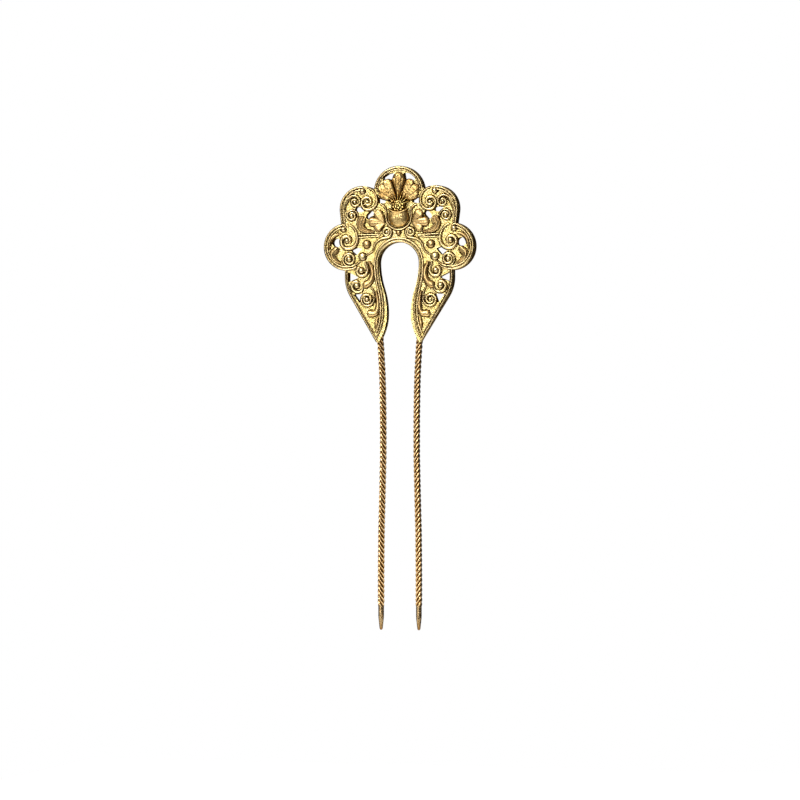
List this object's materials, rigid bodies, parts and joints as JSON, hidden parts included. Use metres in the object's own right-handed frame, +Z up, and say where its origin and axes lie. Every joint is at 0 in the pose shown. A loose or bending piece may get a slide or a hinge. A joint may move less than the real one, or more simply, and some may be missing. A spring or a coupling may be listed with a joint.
{
  "type": "hair pin",
  "caption": "Gilt forked hair pin: a flat openwork head, scalloped round a horseshoe opening, with scrolled relief and a central flower, on slender twisted prongs that slide into hair.",
  "frame": {"origin": "midway between the two prong tips, level with them, at mid depth of the whole pin (bottom centre of its box)", "axes": "+Z up along the prongs from the tips to the head, +X across the head, to the right for a viewer who faces the decorated front, -Y out of the decorated front"},
  "size_m": [0.0504, 0.0052, 0.15],
  "materials": {
    "gilt_ground": "bright gilding on a ground matted with a fine punch",
    "gilt_back": "plain gilt sheet, lightly planished and rubbed",
    "gilt_edge": "darkened gilt strip with solder and old tarnish",
    "gilt_rim": "burnished gilt wire, darker in the grooves",
    "gilt_relief": "smooth gilding, worn to a redder gold on the high places",
    "gilt_flower": "smooth gilding, rubbed and slightly pink on the petals and cup",
    "gilt_prong": "brown gold with bright ridges, coppery at the tips",
    "solder": "hard solder inside the head"
  },
  "bodies": {
    "root": {"arch_rim": "gilt_rim", "arch_wall": "gilt_edge", "back_plate": "gilt_back", "centre_scroll_left": "gilt_relief", "centre_scroll_right": "gilt_relief", "crescent_scroll_left": "gilt_relief", "crescent_scroll_right": "gilt_relief", "cross_bars_left": "gilt_relief", "cross_bars_right": "gilt_relief", "cup_frame": "gilt_rim", "flower_cup": "gilt_flower", "front_plate": "gilt_ground", "ground_beads": "gilt_relief", "leg_bead_scrolls_left": "gilt_relief", "leg_bead_scrolls_right": "gilt_relief", "leg_leaves_left": "gilt_relief", "leg_leaves_right": "gilt_relief", "leg_rim_left": "gilt_rim", "leg_rim_right": "gilt_rim", "leg_spiral_left": "gilt_relief", "leg_spiral_right": "gilt_relief", "leg_wall_left": "gilt_edge", "leg_wall_right": "gilt_edge", "lobe_comma_leaf_left": "gilt_relief", "lobe_comma_leaf_right": "gilt_relief", "lobe_crescent_left": "gilt_relief", "lobe_crescent_right": "gilt_relief", "lobe_spiral_left": "gilt_relief", "lobe_spiral_right": "gilt_relief", "lower_lobe_rim_left": "gilt_rim", "lower_lobe_rim_right": "gilt_rim", "lower_lobe_scroll_left": "gilt_relief", "lower_lobe_scroll_right": "gilt_relief", "lower_lobe_wall_left": "gilt_edge", "lower_lobe_wall_right": "gilt_edge", "middle_petal": "gilt_flower", "opening_rim": "gilt_rim", "opening_wall": "gilt_edge", "paisley_leaf_left": "gilt_relief", "paisley_leaf_right": "gilt_relief", "piercing_collars_left": "gilt_edge", "piercing_collars_right": "gilt_edge", "prong_left": "gilt_prong", "prong_right": "gilt_prong", "prong_seat_left": "solder", "prong_seat_right": "solder", "seed_head": "gilt_flower", "side_petal_left": "gilt_flower", "side_petal_right": "gilt_flower", "stem_scroll_left": "gilt_relief", "stem_scroll_right": "gilt_relief", "trefoil_leaf_left": "gilt_relief", "trefoil_leaf_right": "gilt_relief", "upper_lobe_rim_left": "gilt_rim", "upper_lobe_rim_right": "gilt_rim", "upper_lobe_scroll_left": "gilt_relief", "upper_lobe_scroll_right": "gilt_relief", "upper_lobe_wall_left": "gilt_edge", "upper_lobe_wall_right": "gilt_edge"}
  },
  "joints": []
}
